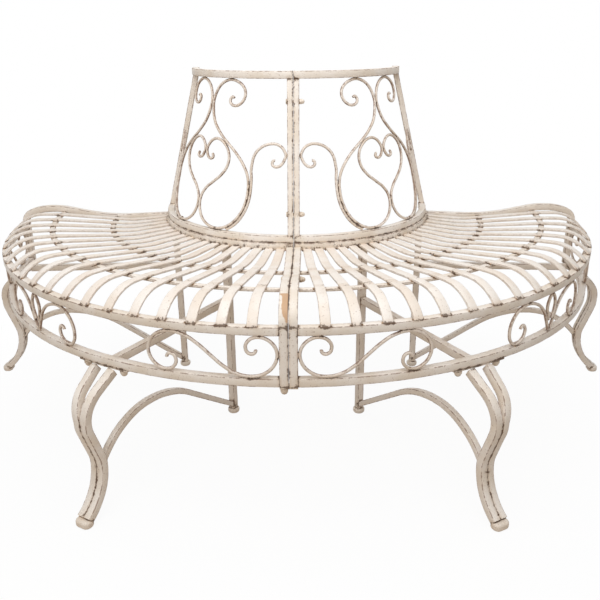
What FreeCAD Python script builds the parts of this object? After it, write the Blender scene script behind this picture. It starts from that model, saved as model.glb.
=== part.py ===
import FreeCAD, Part
import math
import os

# A half-round garden bench of welded steel bar that stands against a tree. It is two
# mirrored quarter benches, bolted together at a seam in the middle, on four leg frames.
# The origin is on the ground on the tree's axis. X runs along the bench, a sitter faces
# -Y and Z is up. An angle is measured from the seam, and a radius from the tree's axis.

# Stock: the square bars, strips, plate and wire that the bench is made of
bar = 15.0
upright_bar = 12.0
brace_bar = 12.0
wire = 6.0
slat_width = 18.0
slat_thickness = 4.0
support_width = 12.0
support_thickness = 5.0
plate_thickness = 3.0

# Seat and apron
rim_radius = 700.0
inner_rim_radius = 325.0
rim_top = 400.0
rim_bottom = 292.0
seam_gap = 1.0
slat_count = 18
first_slat_angle = 4.9
slat_drift = 2.1
support_radii = (455.0, 590.0)

# Top line of an end bar, from the rim up over the front edge and in to the back
lip_rise = 0.5
lip_radius = 35.0
lip_turn = 66.0
shoulder_radius = 116.0
shoulder_turn = 16.5
crest_radius = 224.0
crest_turn = 19.0
slope_length = 42.0
hollow_radius = 470.0
hollow_turn = 14.0
inner_rim_reveal = 6.55

# Top line of a slat, which leans in at once from the rim's front edge
slat_heading = 128.0
slat_front_radius = 88.0
slat_front_turn = 52.0
slat_crest_radius = 600.0
slat_crest_turn = 6.0
slat_slope_length = 125.7
slat_hollow_radius = 300.0
slat_hollow_turn = 10.5

# Backrest, a cone that narrows upwards, with the radii of its bars' centres
back_bottom_radius = 313.5
back_top_radius = 235.5
back_height = 341.5

# Leg frames
leg_angles = (28.85, 86.7)
rear_post_radius = 309.5
stretcher_top = 295.0
knee_radius = 735.0
knee_height = 105.0
foot_bend_radius = 110.0
foot_bend_turn = 56.0
knee_bend_radius = 67.0
lean = 19.0
lean_length = 57.4
hip_bend_radius = 58.0
spread = 9.3
spread_bend_radius = 61.0
shank_bend_radius = 58.6
shank_turn = 57.0
shank_length = 45.0
brace_peak_radius = 600.0
brace_peak_height = 168.0
brace_front_bend = 160.0
brace_rear_bend = 232.0
brace_slope = 34.0

# Feet
rear_foot_radius = 13.5
rear_foot_height = 12.0
front_foot_radius = 786.0
front_foot_depth = 24.0
front_foot_width = 34.0
front_foot_height = 16.0
rear_foot_low_round = 6.0
rear_foot_top_round = 2.4
front_foot_corner_round = 10.8
front_foot_edge_round = 5.6

# Fasteners and the plates that they hold
front_plate_length = 116.0
front_nut_pitch = 88.0
rear_plate_length = 60.0
rear_nut_pitch = 42.0
stud = 8.0
stud_length = 13.0
nut_across_flats = 13.0
nut_height = 13.0
nut_hex_height = 6.0
seam_bolt = 6.0
seam_nut_across_flats = 10.0
seam_nut_height = 11.0
seam_nut_hex_height = 5.0
seam_thread_length = 6.6
bolt_head = 11.0
bolt_head_height = 3.0
bolt_head_round = 1.8
dome_step = 0.3
most_of_room = 0.95
back_bolt_rises = (57.824, 281.824)
seat_bolt_radius = 520.0
hole_clearance = 0.4
thread_clearance = 0.1

# Room left where two round wires, or a wire and a bar, are welded together
weld_gap = 0.1

half_gap = seam_gap / 2
wire_radius = wire / 2
beyond = 2000.0
Vector = FreeCAD.Vector
up = Vector(0, 0, 1)
seam_normal = Vector(1, 0, 0)
middle_normal = Vector(1, 1, 0)


# Points and lines

def ring_point(radius, angle, height):
    """A point by its radius, its angle from the seam in degrees and its height."""
    turn = math.radians(angle)
    return Vector(radius * math.sin(turn), -radius * math.cos(turn), height)


def plane_point(radius, height):
    """A point in the upright plane of the seam."""
    return ring_point(radius, 0, height)


def line(start, end):
    return Part.LineSegment(start, end).toShape()


def arc(start, middle, end):
    return Part.Arc(start, middle, end).toShape()


def walk(start, heading, steps, shift=0.0):
    """Edges of a line of straights and bends in the seam's plane, moved to its left.

    It starts at a (radius, height), and its heading is in degrees from outwards to up.
    A step is a length, or the (radius, turn) of a bend, with a positive turn to the left.
    """
    course = math.radians(heading)
    r = start[0] - shift * math.sin(course)
    z = start[1] + shift * math.cos(course)
    edges = []
    for step in steps:
        if isinstance(step, tuple):
            turn = math.radians(step[1])
            side = math.copysign(1, turn)
            radius = step[0] - side * shift
            centre_r = r - side * radius * math.sin(course)
            centre_z = z + side * radius * math.cos(course)
            points = []
            for share in (0, 0.5, 1):
                now = course + share * turn
                r = centre_r + side * radius * math.sin(now)
                z = centre_z - side * radius * math.cos(now)
                points.append(plane_point(r, z))
            edges.append(arc(*points))
            course += turn
        else:
            before = plane_point(r, z)
            r += step * math.cos(course)
            z += step * math.sin(course)
            edges.append(line(before, plane_point(r, z)))
    return edges, (r, z), math.degrees(course)


def strip_face(start, heading, steps, left, right):
    """The side view of a bar bent along a line, between two distances to its left."""
    one = walk(start, heading, steps, left)[0]
    two = walk(start, heading, steps, right)[0]
    ends = [line(one[0].Vertexes[0].Point, two[0].Vertexes[0].Point)]
    ends.append(line(one[-1].Vertexes[-1].Point, two[-1].Vertexes[-1].Point))
    return Part.Face(Part.Wire(Part.__sortEdges__(one + two + ends)))


def extrude_from(face, offset, width):
    """A solid from a face in the seam's plane, between two distances beside it."""
    solid = face.extrude(Vector(width, 0, 0))
    solid.translate(Vector(offset, 0, 0))
    return solid


# Solids that many parts share

def block(x, y, z, length_x, length_y, length_z):
    return Part.makeBox(length_x, length_y, length_z, Vector(x, y, z))


def tube(inner, outer, bottom, top):
    """A whole ring round the tree, with a rectangular section."""
    place = Vector(0, 0, bottom)
    return Part.makeCylinder(outer, top - bottom, place).cut(
        Part.makeCylinder(inner, top - bottom, place))


def quarter_ring(inner, outer, bottom, top, edge):
    """A ring's quarter, cut `edge` before the planes that bound the quarter bench."""
    keep = block(edge, -beyond, 0, beyond - edge, beyond - edge, beyond)
    return tube(inner, outer, bottom, top).common(keep)


def mirrored(shape, normal):
    return shape.mirror(Vector(0, 0, 0), normal)


def both_ends(shape):
    """A part at the seam and its twin at the outer end of the quarter bench."""
    return [shape, mirrored(shape, middle_normal)]


def fitting_round(radius, room):
    """A fillet's radius, kept smaller than the room that it has."""
    return min(radius, most_of_room * room)


def turned(shape, angle):
    copy = shape.copy()
    copy.rotate(Vector(0, 0, 0), up, angle)
    return copy


def hex_prism(across_flats, height, base):
    corner = across_flats / 2 / math.cos(math.radians(30))
    corners = [base + ring_point(corner, 60 * k, 0) for k in range(7)]
    return Part.Face(Part.makePolygon(corners)).extrude(Vector(0, 0, height))


# Smooth wires

def tangents(points):
    """At each point, the tangent of the circle through it and its neighbours."""
    inner = []
    for before, here, after in zip(points, points[1:], points[2:]):
        one = here - before
        two = after - here
        tangent = one / one.Length ** 2 + two / two.Length ** 2
        inner.append(tangent.normalize())
    first = (points[1] - points[0]).normalize()
    last = (points[-1] - points[-2]).normalize()
    start = first * (2 * first.dot(inner[0])) - inner[0]
    end = last * (2 * last.dot(inner[-1])) - inner[-1]
    return [start] + inner + [end]


def arc_from(start, tangent, end):
    """The arc that leaves a point along a tangent and ends at another point."""
    chord = end - start
    along = chord.dot(tangent) / chord.Length
    aside = tangent - chord * (along / chord.Length)
    if aside.Length < 1e-4:
        return line(start, end)
    half_turn = math.acos(min(1, along)) / 2
    rise = chord.Length / 2 * math.tan(half_turn)
    return arc(start, (start + end) / 2 + aside.normalize() * rise, end)


def smooth_path(points):
    """Tangent arcs, two to a span, through a list of points."""
    edges = []
    course = tangents(points)
    for k in range(len(points) - 1):
        span = points[k + 1] - points[k]
        both = course[k] + course[k + 1]
        lack = 2 * (1 - course[k].dot(course[k + 1]))
        reach = span.dot(both)
        if lack < 1e-9:
            length = span.dot(span) / (2 * reach)
        else:
            length = (math.sqrt(reach ** 2 + lack * span.dot(span)) - reach) / lack
        middle = (points[k] + points[k + 1]) / 2 + (course[k] - course[k + 1]) * (length / 2)
        edges.append(arc_from(points[k], course[k], middle))
        edges.append(arc_from(points[k + 1], -course[k + 1], middle))
    return Part.Wire(edges), course[0]


def bent_wire(points):
    """A round wire that follows a list of points."""
    path, course = smooth_path(points)
    section = Part.Wire(Part.makeCircle(wire_radius, points[0], course))
    return path.makePipeShell([section], True, False)


# Seat

rim_inside = rim_radius - bar
bar_edge = half_gap + bar
seat_line_start = (rim_radius, rim_top)
seat_bends = [lip_rise, (lip_radius, lip_turn), (shoulder_radius, shoulder_turn),
              (crest_radius, crest_turn), slope_length, (hollow_radius, -hollow_turn)]
slat_bends = [slat_thickness, (slat_front_radius, slat_front_turn),
              (slat_crest_radius, slat_crest_turn), slat_slope_length,
              (slat_hollow_radius, -slat_hollow_turn)]
_, slat_line_start, _ = walk(seat_line_start, slat_heading, [-slat_thickness])


def run_in(start, heading, bends, radius):
    """The bends of a line, and the straight after them that takes it in to a radius."""
    _, end, course = walk(start, heading, bends)
    return bends + [(end[0] - radius) / -math.cos(math.radians(course))]


_, line_at_rim, _ = walk(seat_line_start, 90,
                         run_in(seat_line_start, 90, seat_bends, inner_rim_radius))
inner_rim_top = line_at_rim[1] + inner_rim_reveal
inner_rim_bottom = inner_rim_top - bar
inner_rim_core = Part.makeCylinder(inner_rim_radius, beyond)
seat_line = (seat_line_start, 90,
             run_in(seat_line_start, 90, seat_bends, inner_rim_radius - bar))
slat_line = (slat_line_start, slat_heading,
             run_in(slat_line_start, slat_heading, slat_bends, inner_rim_radius - bar))


def seat_strip(course, offset, width, depth):
    """A bar along a line of the seat, as far as the face of the inner rim."""
    face = strip_face(*course, 0, depth)
    return extrude_from(face, offset, width).cut(inner_rim_core)


def seat_slats():
    """Strips that stand level on the outer rim, in a fan that opens a little outwards."""
    slat = seat_strip(slat_line, -slat_width / 2, slat_width, slat_thickness)
    slat = slat.common(block(-beyond, -beyond, rim_top, 2 * beyond, 2 * beyond, beyond))
    fan = 90 - 2 * first_slat_angle
    slats = []
    for k in range(slat_count):
        share = k / (slat_count - 1)
        drift = 4 * slat_drift * share * (1 - share)
        slats.append(turned(slat, first_slat_angle + fan * share - drift))
    return slats


def end_bar():
    """The square bar beside the seam."""
    return seat_strip(seat_line, half_gap, bar, bar)


def height_on(course, radius, sink):
    """Height at a radius of a line of the seat, moved down into the seat."""
    path = Part.Wire(walk(*course, sink)[0])
    probe = line(plane_point(radius, rim_bottom), plane_point(radius, beyond))
    return path.distToShape(probe)[1][0][0].z


def support_ring(radius):
    """A flat ring under the slats that keeps them level with each other."""
    inner = radius - support_width / 2
    outer = radius + support_width / 2
    top = min(height_on(slat_line, inner, slat_thickness),
              height_on(slat_line, outer, slat_thickness))
    return quarter_ring(inner, outer, top - support_thickness, top, bar_edge)


def seat_rim(bottom):
    return quarter_ring(rim_inside, rim_radius, bottom, bottom + bar, bar_edge)


def corner_post():
    """The post at the end of the apron, from the lower rim's underside to the seat."""
    return block(half_gap, -rim_radius, rim_bottom, bar, bar, rim_top - rim_bottom)


# Apron scrolls, drawn flat with their height above the lower touch

apron_wire_radius = rim_radius - wire_radius
apron_low = rim_bottom + bar + wire_radius + weld_gap
apron_high = rim_top - bar - wire_radius - weld_gap
apron_drawn = 73.0
post_touch = bar_edge + wire_radius + weld_gap
middle_touch = wire_radius + weld_gap / 2

# Half of the S scroll: the distance from the seam, and the height
s_scroll_centre = (132.5, 36.5)
s_scroll = [(54.0, 49.5), (58.0, 42.5), (66.5, 43.5), (71.0, 54.0), (65.0, 67.0),
            (49.0, 73.0), (30.0, 65.5), (post_touch, 44.0), (23.6, 22.5), (41.0, 5.5),
            (68.0, 0.0), (91.0, 5.5), (112.0, 18.5)]

# One side of the heart: the distance from the middle of the quarter, and the height
heart_scroll = [(98.5, 27.5), (92.0, 33.0), (85.0, 26.5), (86.0, 13.0), (97.0, 2.5),
                (111.0, 0.0), (124.5, 11.0), (128.5, 31.0), (121.5, 53.0), (106.0, 68.0),
                (86.5, 73.0), (64.0, 69.5), (43.5, 60.0), (26.0, 43.5), (13.5, 22.0),
                (middle_touch, 0.0)]

# One side of the leaf inside the heart
leaf_wire = [(5.0, 21.0), (10.0, 31.0), (14.0, 42.0), (14.5, 53.0), (10.5, 64.0),
             (middle_touch, 73.0)]


def on_apron(along, height):
    """A point on the apron by its distance from the seam round the rim, and its height."""
    angle = math.degrees(along / apron_wire_radius)
    share = height / apron_drawn
    return ring_point(apron_wire_radius, angle, apron_low + share * (apron_high - apron_low))


def apron_side_scroll():
    """The S scroll beside the seam's post."""
    around = [(2 * s_scroll_centre[0] - x, 2 * s_scroll_centre[1] - z) for x, z in s_scroll]
    outline = s_scroll + [s_scroll_centre] + around[::-1]
    return bent_wire([on_apron(x, z) for x, z in outline])


def apron_middle_wire(outline):
    """A wire of the figure in the middle, on the seam's side."""
    middle = math.radians(45) * apron_wire_radius
    return bent_wire([on_apron(middle - x, z) for x, z in outline])


# Backrest

back_bottom = inner_rim_top
back_top = back_bottom + back_height
back_opening = (back_bottom + bar, back_top - bar)
back_slope = (back_bottom_radius - back_top_radius) / (back_opening[1] - back_opening[0])
upright_edge = half_gap + upright_bar


def back_radius(height):
    """Radius of the middle of the uprights and the scrolls at a height."""
    return back_bottom_radius - (height - back_opening[0]) * back_slope


def back_bar(radius, bottom):
    return quarter_ring(radius - bar / 2, radius + bar / 2, bottom, bottom + bar, half_gap)


def back_upright():
    """The leaning bar beside the seam, before its holes."""
    half = upright_bar / 2 * math.hypot(1, back_slope)
    corners = [plane_point(back_radius(z) + side * half, z) for z, side in
               zip(back_opening + back_opening[::-1], (-1, -1, 1, 1))]
    face = Part.Face(Part.makePolygon(corners + corners[:1]))
    return extrude_from(face, half_gap, upright_bar)


def bolted_upright():
    """The upright at the seam, with the holes of the back's bolts."""
    return back_upright().cut([seam_hole(back_radius(back_bottom + rise), back_bottom + rise)
                               for rise in back_bolt_rises])


# Backrest scrolls: degrees from the middle of the quarter, and the height above the
# lower touch. At a touch in the middle or at an upright the angle is worked out.
back_low = back_opening[0] + wire_radius + weld_gap
back_high = back_opening[1] - wire_radius - weld_gap
back_drawn = 306.0


def back_height_of(drawn):
    return back_low + drawn / back_drawn * (back_high - back_low)


def at_middle(drawn):
    """Where two mirrored wires touch in the middle of the backrest."""
    radius = back_radius(back_height_of(drawn))
    return (math.degrees(math.asin(middle_touch / radius)), drawn)


def at_upright(drawn):
    """Where a wire touches the upright."""
    radius = back_radius(back_height_of(drawn))
    return (45 - math.degrees(math.asin((upright_edge + wire_radius + weld_gap) / radius)), drawn)


pear_wire = [(14.3, 269.5), (13.3, 271.5), (12.3, 268.0), (12.2, 261.5), (13.4, 256.0),
             (15.6, 254.0), (18.0, 257.5), (19.8, 265.0), (20.7, 275.0), (20.2, 287.0),
             (18.2, 296.5), (15.2, 303.0), (11.6, 306.0), (7.6, 302.5), (4.6, 295.0),
             (2.6, 285.0), (1.3, 273.0), at_middle(259.5), (1.2, 246.0), (2.4, 230.0),
             (4.2, 216.0), (6.3, 205.5), (8.7, 195.0), (11.5, 184.5), (14.5, 174.0),
             (17.4, 163.0), (19.8, 152.0), (22.0, 139.5), (23.8, 126.0), (25.0, 112.0),
             (25.5, 98.0), (25.5, 84.0), (25.1, 68.0), (24.2, 52.0), (22.8, 37.0),
             (21.0, 24.0), (18.8, 13.5), (16.4, 6.0), (13.9, 1.5), (11.41, 0.0)]

heart_wire = [(11.39, 0.0), (8.4, 1.8), (5.6, 7.5), (3.2, 17.0), (1.4, 31.0), at_middle(48.0),
              (1.1, 64.0), (3.3, 80.0), (7.4, 96.0), (11.7, 113.0), (14.1, 129.0),
              (14.9, 146.0), (14.1, 162.0), (11.8, 175.5), (9.2, 183.0), (6.6, 185.5),
              (3.9, 182.0), (1.9, 174.0), at_middle(162.0), (1.4, 151.0), (2.8, 144.0),
              (4.3, 143.0), (5.4, 147.0), (4.8, 152.5)]

side_curl = [(36.9, 147.5), (35.9, 145.0), (35.8, 140.0), (37.0, 135.0), (38.6, 135.5),
             (40.1, 141.0), (41.1, 149.0), at_upright(157.5), (41.1, 166.0), (39.9, 174.0),
             (37.4, 180.0), (34.6, 180.5), (32.0, 177.0), (29.8, 170.5), (28.2, 162.5),
             (27.1, 151.5), (26.6, 138.5), (26.4, 125.0), (26.7, 112.0)]
side_tail_from = 31
side_tail_to = 38


def on_back(angle, drawn):
    height = back_height_of(drawn)
    return ring_point(back_radius(height), 45 - angle, height)


def beside(points, first, last, distance):
    """Points of a path moved sideways, away from the middle of the backrest."""
    course = tangents(points)
    moved = []
    for k in range(first, last):
        outward = Vector(points[k].x, points[k].y, 0).normalize()
        moved.append(points[k] + course[k].cross(outward).normalize() * distance)
    return moved


def back_scrolls():
    """The pear, heart and side wires of the half next to the seam."""
    pear = [on_back(*place) for place in pear_wire]
    heart = [on_back(*place) for place in heart_wire]
    tail = beside(pear, side_tail_from, side_tail_to, wire + weld_gap)
    side = [on_back(*place) for place in side_curl] + tail
    return bent_wire(pear), bent_wire(heart), bent_wire(side)


# Fasteners

def seam_hole(radius, height):
    """The hole of a bolt that runs across the seam."""
    place = plane_point(radius, height) - Vector(beyond / 2, 0, 0)
    return Part.makeCylinder(seam_bolt / 2 + hole_clearance / 2, beyond, place, seam_normal)


def seat_bolt_place():
    """Radius and height of the bolt between the seat's seam bars."""
    return seat_bolt_radius, height_on(seat_line, seat_bolt_radius, bar / 2)


def acorn_nut(across_flats, hex_height, height, thread, depth):
    """A domed nut that stands on the ground plane, with a blind hole from its face."""
    dome_radius = across_flats / 2 - dome_step
    straight = Part.makeCylinder(dome_radius, height - dome_radius)
    dome = Part.makeSphere(dome_radius, Vector(0, 0, height - dome_radius))
    body = hex_prism(across_flats, hex_height, Vector(0, 0, 0)).fuse([straight, dome])
    body = body.common(block(-beyond, -beyond, 0, 2 * beyond, 2 * beyond, beyond))
    bore = Part.makeCylinder(thread / 2 + thread_clearance / 2, depth + thread_clearance)
    return body.cut(bore).removeSplitter()


def seam_fastener(radius, height, edge):
    """A bolt and its nut across the seam, through bars whose far faces are at `edge`."""
    shank_place = plane_point(radius, height) - Vector(edge, 0, 0)
    shank_length = 2 * edge + seam_thread_length
    shank = Part.makeCylinder(seam_bolt / 2, shank_length, shank_place, seam_normal)
    head_place = shank_place - Vector(bolt_head_height, 0, 0)
    head = Part.makeCylinder(bolt_head / 2, bolt_head_height, head_place, seam_normal)
    rim = [edge_of for edge_of in head.Edges
           if isinstance(edge_of.Curve, Part.Circle) and edge_of.CenterOfMass.x < head_place.x + 1]
    head = head.makeFillet(fitting_round(bolt_head_round, bolt_head_height), rim)
    nut = acorn_nut(seam_nut_across_flats, seam_nut_hex_height, seam_nut_height, seam_bolt,
                    seam_thread_length)
    nut.rotate(Vector(0, 0, 0), Vector(0, 1, 0), 90)
    nut.translate(plane_point(radius, height) + Vector(edge, 0, 0))
    return shank.fuse(head).removeSplitter(), nut


def hanging_stud(place):
    """A threaded stud welded under a rim."""
    return Part.makeCylinder(stud / 2, stud_length, place, -up)


def hanging_nut(place):
    """The acorn nut that clamps a plate under a rim."""
    nut = acorn_nut(nut_across_flats, nut_hex_height, nut_height, stud,
                    stud_length - plate_thickness)
    nut.rotate(Vector(0, 0, 0), Vector(1, 0, 0), 180)
    nut.translate(place - up * plate_thickness)
    return nut


def stud_holes(plate, places):
    for place in places:
        plate = plate.cut(Part.makeCylinder(stud / 2 + hole_clearance / 2, stud_length, place, -up))
    return plate


# Leg frames, drawn in the seam's plane and then turned to their angle

plate_bottom = rim_bottom - plate_thickness
post_inside = rear_post_radius - bar / 2
post_outside = rear_post_radius + bar / 2
post_top = inner_rim_bottom - plate_thickness


def front_plate():
    """The plate on top of the front strands, shaped to the lower rim."""
    ring = tube(rim_inside, rim_radius, plate_bottom, rim_bottom)
    keep = block(-front_plate_length / 2, -beyond, 0, front_plate_length, beyond, beyond)
    return stud_holes(ring.common(keep), front_studs())


def front_studs():
    half_turn = math.degrees(math.asin(front_nut_pitch / 2 / rim_radius))
    return [ring_point(rim_radius - bar / 2, side * half_turn, rim_bottom) for side in (-1, 1)]


def rear_plate():
    """The plate on top of the rear post, under the inner rim."""
    depth = inner_rim_radius - post_inside
    plate = block(-rear_plate_length / 2, -inner_rim_radius, post_top,
                  rear_plate_length, depth, plate_thickness)
    return stud_holes(plate.common(Part.makeCylinder(inner_rim_radius, beyond)), rear_studs())


def rear_studs():
    half_turn = math.degrees(math.asin(rear_nut_pitch / 2 / inner_rim_radius))
    return [ring_point(inner_rim_radius - bar / 2, side * half_turn, inner_rim_bottom)
            for side in (-1, 1)]


def rear_post():
    return block(-bar / 2, -post_outside, rear_foot_height, bar, bar, post_top - rear_foot_height)


def stretcher():
    """The level bar from the rear post out to the lower rim."""
    length = rim_inside - post_outside
    level = block(-bar / 2, -rim_inside, stretcher_top - bar, bar, length, bar)
    return level.common(Part.makeCylinder(rim_inside, beyond))


def front_strand():
    """A square bar from the foot up to the plate, bent aside above its touching twin."""
    knee = (knee_radius, knee_height)
    _, foot, heading = walk(knee, 270, [(foot_bend_radius, foot_bend_turn)])
    rise = [(foot_bend_radius, -foot_bend_turn), (knee_bend_radius, -lean), lean_length,
            (hip_bend_radius, lean)]
    lower, hip, _ = walk(foot, heading + 180, rise)
    upper, _, _ = walk(hip, 90, [(shank_bend_radius, shank_turn), shank_length])
    split = plane_point(*hip)
    bend = []
    for share in (0, 0.5, 1):
        turn = math.radians(share * spread)
        bend.append(split + Vector(1 - math.cos(turn), 0, math.sin(turn)) * spread_bend_radius)
    for edge in upper:
        edge.rotate(split, Vector(0, -1, 0), -spread)
        edge.translate(bend[2] - split)
    path = Part.Wire(lower + [arc(*bend)] + upper)
    turn = math.radians(heading)
    across = Vector(0, math.sin(turn), math.cos(turn)) * (bar / 2)
    aside = Vector(bar / 2, 0, 0)
    centre = plane_point(*foot)
    corners = [centre - across - aside, centre + across - aside,
               centre + across + aside, centre - across + aside]
    section = Part.makePolygon(corners + corners[:1])
    strand = path.makePipeShell([section], True, False)
    strand.translate(aside)
    return strand.common(block(-beyond, -beyond, 0, 2 * beyond, 2 * beyond, plate_bottom))


def brace(strands):
    """The arched brace from the rear post to the knee of the front strands."""
    front_turn = math.degrees(math.asin(
        (knee_radius - brace_peak_radius) / (brace_front_bend - brace_bar / 2)))
    front = [(brace_front_bend, -front_turn)]
    slope = math.radians(brace_slope)
    bend_reach = brace_rear_bend * math.sin(slope)
    run = (brace_peak_radius - bend_reach - rear_post_radius) / math.cos(slope)
    peak = (brace_peak_radius, brace_peak_height)
    outer = strip_face(peak, 0, front, -brace_bar / 2, brace_bar / 2)
    inner = strip_face(peak, 180, [(brace_rear_bend, brace_slope), run],
                       -brace_bar / 2, brace_bar / 2)
    arch = extrude_from(outer, -brace_bar / 2, brace_bar)
    arch = arch.fuse(extrude_from(inner, -brace_bar / 2, brace_bar)).removeSplitter()
    return largest(arch.cut(strands + [rear_post()]))


def largest(shape):
    return max(shape.Solids, key=lambda solid: solid.Volume)


def rear_foot():
    """A round cap under the rear post."""
    cap = Part.makeCylinder(rear_foot_radius, rear_foot_height, plane_point(rear_post_radius, 0))
    low = [edge for edge in cap.Edges if edge.BoundBox.ZMax < 1]
    high = [edge for edge in cap.Edges if edge.BoundBox.ZMin > rear_foot_height - 1]
    low_round = fitting_round(rear_foot_low_round, rear_foot_height - rear_foot_top_round)
    return cap.makeFillet(low_round, low).makeFillet(rear_foot_top_round, high)


def front_foot(strands):
    """A rounded shoe that holds the ends of both front strands."""
    half = front_foot_width / 2
    near = front_foot_radius - front_foot_depth / 2
    shoe = block(-half, -near - front_foot_depth, 0, front_foot_width, front_foot_depth,
                 front_foot_height)
    upright_edges = [edge for edge in shoe.Edges if edge.BoundBox.ZLength > 1]
    corner_round = fitting_round(front_foot_corner_round, front_foot_depth / 2)
    shoe = shoe.makeFillet(corner_round, upright_edges)
    level_edges = [edge for edge in shoe.Edges if edge.BoundBox.ZLength < 1]
    edge_round = fitting_round(front_foot_edge_round, front_foot_height / 2)
    shoe = shoe.makeFillet(edge_round, level_edges)
    return largest(shoe.cut(strands))


def leg_parts():
    """Every part of a leg frame in the seam's plane, by name."""
    strand = front_strand()
    strands = [strand, mirrored(strand, seam_normal)]
    return {
        "rear_post": [rear_post()],
        "stretcher": [stretcher()],
        "front_strands": strands,
        "arch_brace": [brace(strands)],
        "feet": [rear_foot(), front_foot(strands)],
    }


# Assembly

def quarter_bench():
    """Every part of the quarter bench on the right of the seam, by name."""
    pear, heart, side = back_scrolls()
    return {
        "outer_rim": [seat_rim(rim_top - bar)],
        "apron_lower_rim": [seat_rim(rim_bottom)],
        "inner_rim": [quarter_ring(inner_rim_radius - bar, inner_rim_radius,
                                   inner_rim_bottom, inner_rim_top, half_gap)],
        "support_rings": [support_ring(radius) for radius in support_radii],
        "seat_slats": seat_slats(),
        "seam_end_bar": [end_bar().cut(seam_hole(*seat_bolt_place()))],
        "outer_end_bar": [mirrored(end_bar(), middle_normal)],
        "corner_posts": both_ends(corner_post()),
        "apron_side_scrolls": both_ends(apron_side_scroll()),
        "apron_heart_scrolls": both_ends(apron_middle_wire(heart_scroll)),
        "apron_leaf": both_ends(apron_middle_wire(leaf_wire)),
        "back_top_bar": [back_bar(back_top_radius, back_opening[1])],
        "back_bottom_bar": [back_bar(back_bottom_radius, back_bottom)],
        "back_uprights": [bolted_upright(), mirrored(back_upright(), middle_normal)],
        "back_pear_scrolls": both_ends(pear),
        "back_heart_scrolls": both_ends(heart),
        "back_side_scrolls": both_ends(side),
    }


def write(name, solids):
    """One file for a named part, which may be a group of separate solids."""
    whole = []
    for solid in solids:
        whole.extend(solid.Solids)
    shape = whole[0] if len(whole) == 1 else Part.makeCompound(whole)
    shape.exportStep(os.path.join("parts", name + ".step"))
    volume = sum(solid.Volume for solid in whole)
    valid = all(solid.isValid() for solid in whole)
    print(name, len(whole), "solids", round(volume / 1000, 2), "cm3", "valid" if valid else "BAD")


def on_legs(shapes):
    """Plates drawn in the seam's plane, at all four legs, cut off at the bench's ends."""
    placed = []
    keep = block(-beyond, -beyond, 0, 2 * beyond, beyond - half_gap, beyond)
    for angle in leg_angles:
        for shape in shapes:
            right = turned(shape, angle).common(keep)
            placed.extend([right, mirrored(right, seam_normal)])
    return placed


def at_legs(places):
    """Places drawn in the seam's plane, at all four legs, if a nut has room there."""
    found = []
    for angle in leg_angles:
        for place in places:
            right = ring_point(math.hypot(place.x, place.y),
                               angle + math.degrees(math.atan2(place.x, -place.y)), place.z)
            if right.y < -half_gap - nut_across_flats / 2:
                found.extend([right, Vector(-right.x, right.y, right.z)])
    return found


def build():
    os.makedirs("parts", exist_ok=True)
    for name, solids in quarter_bench().items():
        write("right_" + name, solids)
        write("left_" + name, [mirrored(solid, seam_normal) for solid in solids])
    for name, solids in leg_parts().items():
        for angle, place in zip(leg_angles, ("middle", "end")):
            right = [turned(solid, angle) for solid in solids]
            write("right_" + place + "_leg_" + name, right)
            write("left_" + place + "_leg_" + name, [mirrored(solid, seam_normal) for solid in right])
    write("leg_plates", on_legs([front_plate(), rear_plate()]))
    seam_stud = Vector(-half_gap - bar / 2, -rim_radius + bar / 2, rim_bottom)
    studs = at_legs(front_studs() + rear_studs()) + [seam_stud]
    write("plate_studs", [hanging_stud(place) for place in studs])
    write("plate_nuts", [hanging_nut(place) for place in studs])
    seam_plate = block(-bar_edge, -rim_radius, plate_bottom, 2 * bar_edge, bar, plate_thickness)
    write("seam_plate", [stud_holes(seam_plate, [seam_stud])])
    pairs = [seam_fastener(back_radius(back_bottom + rise), back_bottom + rise, upright_edge)
             for rise in back_bolt_rises]
    pairs.append(seam_fastener(*seat_bolt_place(), bar_edge))
    write("seam_bolts", [bolt for bolt, nut in pairs])
    write("seam_nuts", [nut for bolt, nut in pairs])


build()
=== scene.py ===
# %% [markdown]
# # A half-round garden bench of welded, painted steel
#
# The real bench is bent from four stocks: 15 mm square bar for its rims, posts and
# legs, 12 mm bar for the braces and the back's uprights, flat strip for the slats and the
# rings under them, and 6 mm round wire for the scrolls. It is welded, painted cream and
# rubbed back, so that brown shows at the edges and round the welds.
#
# A bent bar is one section that follows one line. So nearly every piece here starts as a
# line of points, and a Geometry Nodes tree sweeps the section along it.

# %% Load the frame
import math

import bmesh
import bpy
from mathutils import Matrix, Vector
from mathutils.bvhtree import BVHTree


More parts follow.
